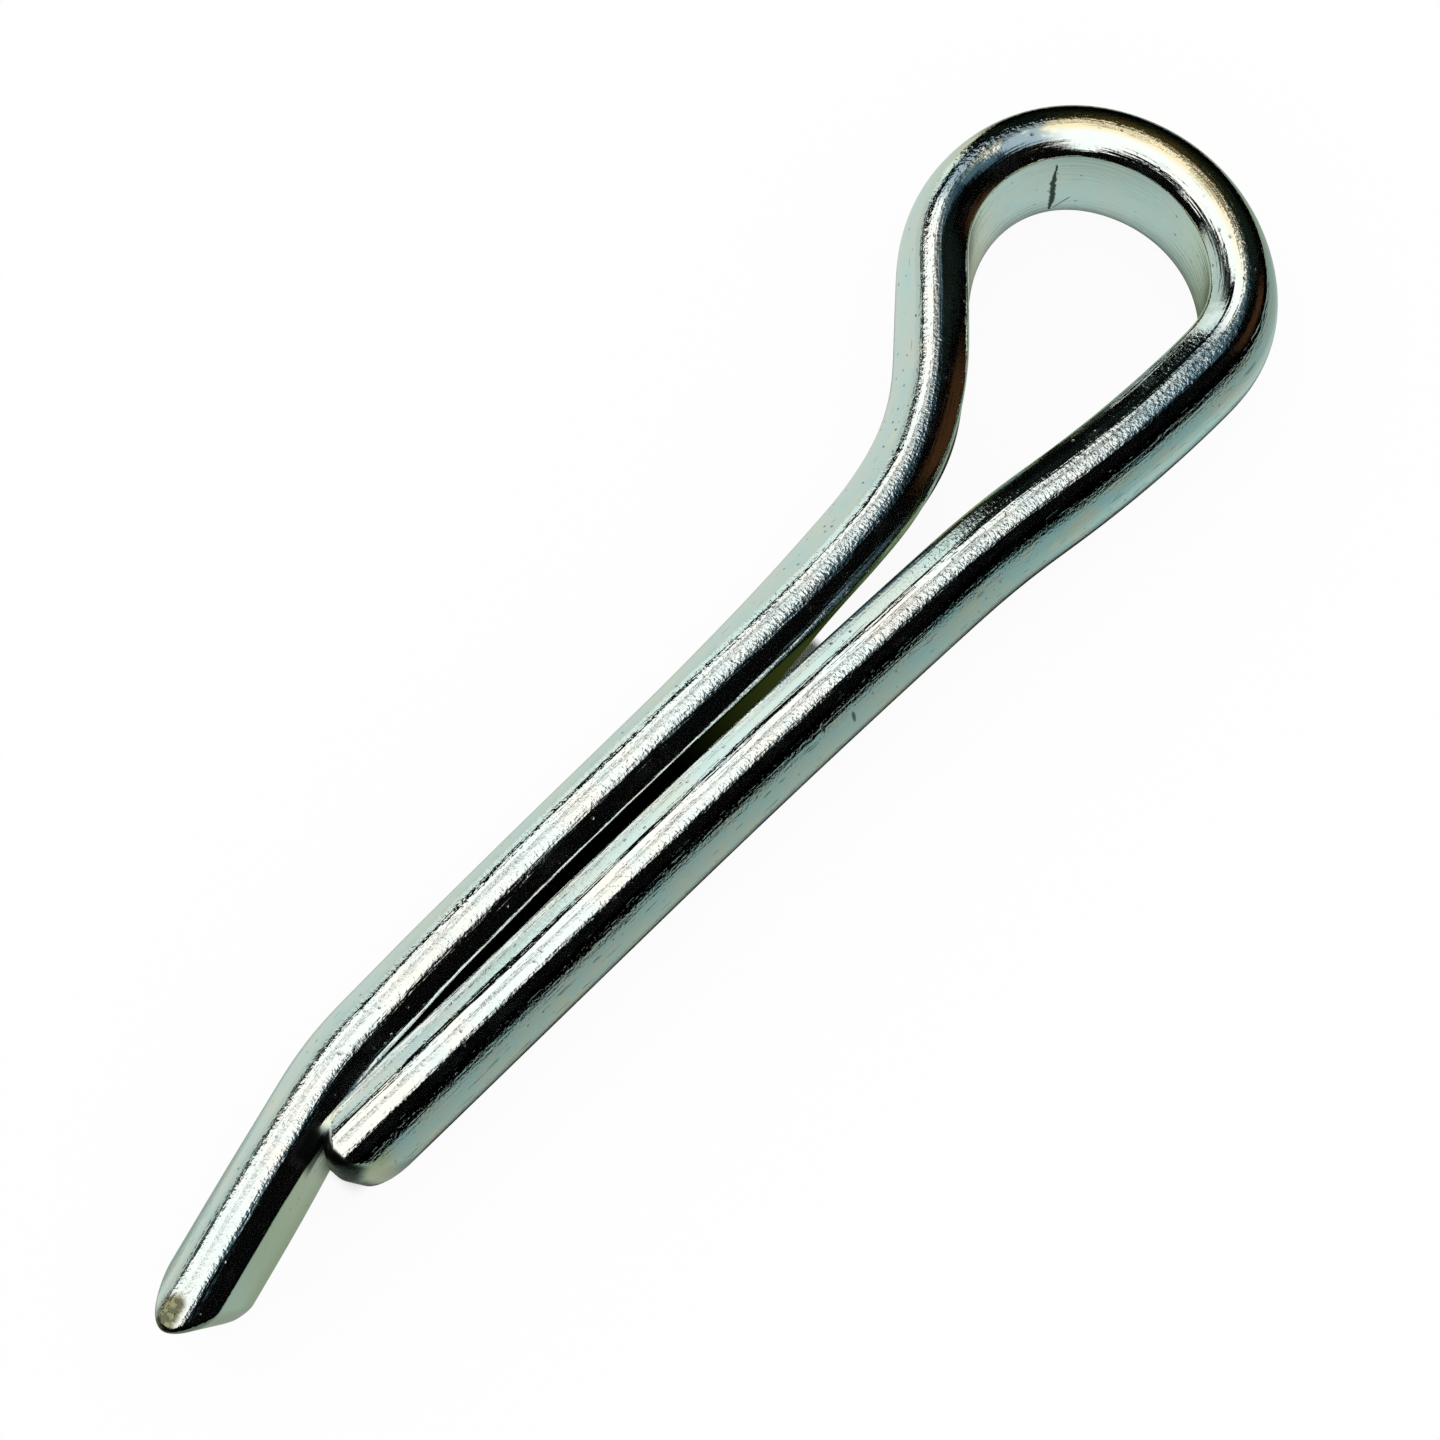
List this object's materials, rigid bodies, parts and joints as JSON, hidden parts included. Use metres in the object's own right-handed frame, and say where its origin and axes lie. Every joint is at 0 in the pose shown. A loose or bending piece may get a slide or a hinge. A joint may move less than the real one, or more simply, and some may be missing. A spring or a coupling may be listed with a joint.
{
  "type": "cotter pin",
  "caption": "Split cotter pin of half-round wire folded round an open eye, with a long leg set across the end of the short one.",
  "frame": {"origin": "on the axis of the shank, half-way along the grip, midway between the two flats", "axes": "+X along the shank towards the eye, +Y across the flats towards the long leg, +Z along the axis of the eye; the pin lies on its side"},
  "size_m": [0.0467, 0.0117, 0.0042],
  "materials": {
    "zinc_plate": "bright zinc plate with a faint green and straw passivate film"
  },
  "bodies": {
    "root": {"cotter_pin": "zinc_plate"}
  },
  "joints": []
}
